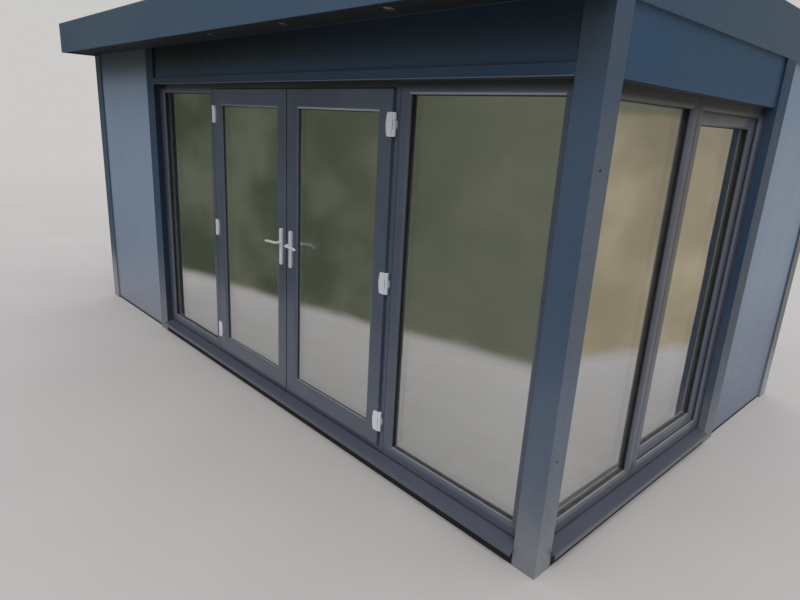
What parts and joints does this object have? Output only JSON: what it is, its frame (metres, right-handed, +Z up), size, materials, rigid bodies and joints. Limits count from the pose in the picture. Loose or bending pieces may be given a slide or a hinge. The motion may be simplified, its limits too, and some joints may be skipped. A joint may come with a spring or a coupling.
{
  "type": "garden office pod",
  "caption": "Flat-roofed garden office with insulated panel walls, a glazed front corner, hinged glazed doors, fixed lights and an overhanging roof.",
  "frame": {"origin": "on the ground, under the middle of the rectangle that the outer faces of the corner post and corner trims make", "axes": "+X along the front towards the glazed side wall, +Y from the front wall to the back wall, +Z up"},
  "size_m": [5.4755, 3.6515, 2.664],
  "materials": {
    "dark_coated_steel": "satin",
    "slate_panel": "satin",
    "anthracite_upvc": "satin",
    "window_glass": "clear",
    "silver_hardware": "satin",
    "pale_spacer": "matte",
    "black_base": "matte",
    "white_lining": "matte",
    "grey_floor": "matte",
    "roof_membrane": "matte",
    "lens_white": "frosted"
  },
  "bodies": {
    "pod": {"base_tray": "black_base", "floor_panel": "white_lining", "floor_boards": "grey_floor", "back_wall": "slate_panel", "left_wall": "slate_panel", "front_wall": "slate_panel", "right_wall": "slate_panel", "opening_headers": "dark_coated_steel", "inner_linings": "white_lining", "ceiling": "white_lining", "soffit": "dark_coated_steel", "soffit_lights": "lens_white", "roof_panel": "slate_panel", "roof_covering": "roof_membrane", "front_fascia": "dark_coated_steel", "side_fascias": "dark_coated_steel", "rear_fascia": "dark_coated_steel", "rear_gutter": "dark_coated_steel", "rear_downpipe": "dark_coated_steel", "corner_post": "dark_coated_steel", "corner_trims": "dark_coated_steel", "jamb_trims": "dark_coated_steel", "head_trim": "dark_coated_steel", "window_sills": "anthracite_upvc", "left_light_frame": "anthracite_upvc", "right_light_frame": "anthracite_upvc", "door_frame": "anthracite_upvc", "side_light_frame": "anthracite_upvc", "casement_frame": "anthracite_upvc", "casement_sash": "anthracite_upvc", "fixed_glass": "window_glass", "fixed_spacers": "pale_spacer", "frame_hinges": "silver_hardware"},
    "left_door": {"left_door_leaf": "anthracite_upvc", "left_door_glass": "window_glass", "left_door_spacer": "pale_spacer", "left_door_hinges": "silver_hardware", "left_door_plates": "silver_hardware"},
    "left_lever": {"left_door_levers": "silver_hardware"},
    "right_door": {"right_door_leaf": "anthracite_upvc", "right_door_glass": "window_glass", "right_door_spacer": "pale_spacer", "right_door_hinges": "silver_hardware", "right_door_plates": "silver_hardware"},
    "right_lever": {"right_door_levers": "silver_hardware"}
  },
  "joints": [
    {"name": "left_door_hinge", "type": "hinge", "parent": "pod", "child": "left_door", "pos_m": [-0.346, -1.585, 1.127], "axis": [0, 0, -1], "range_deg": [0, 90]},
    {"name": "right_door_hinge", "type": "hinge", "parent": "pod", "child": "right_door", "pos_m": [1.596, -1.585, 1.127], "axis": [0, 0, 1], "range_deg": [0, 90]},
    {"name": "left_lever_turn", "type": "hinge", "parent": "left_door", "child": "left_lever", "pos_m": [0.5695, -1.557, 1.165], "axis": [0, -1, 0], "range_deg": [0, 40], "stiffness_Nm_per_rad": 1.2, "springref_deg": -20.05},
    {"name": "right_lever_turn", "type": "hinge", "parent": "right_door", "child": "right_lever", "pos_m": [0.6805, -1.557, 1.165], "axis": [0, 1, 0], "range_deg": [0, 40], "stiffness_Nm_per_rad": 1.2, "springref_deg": -20.05}
  ]
}
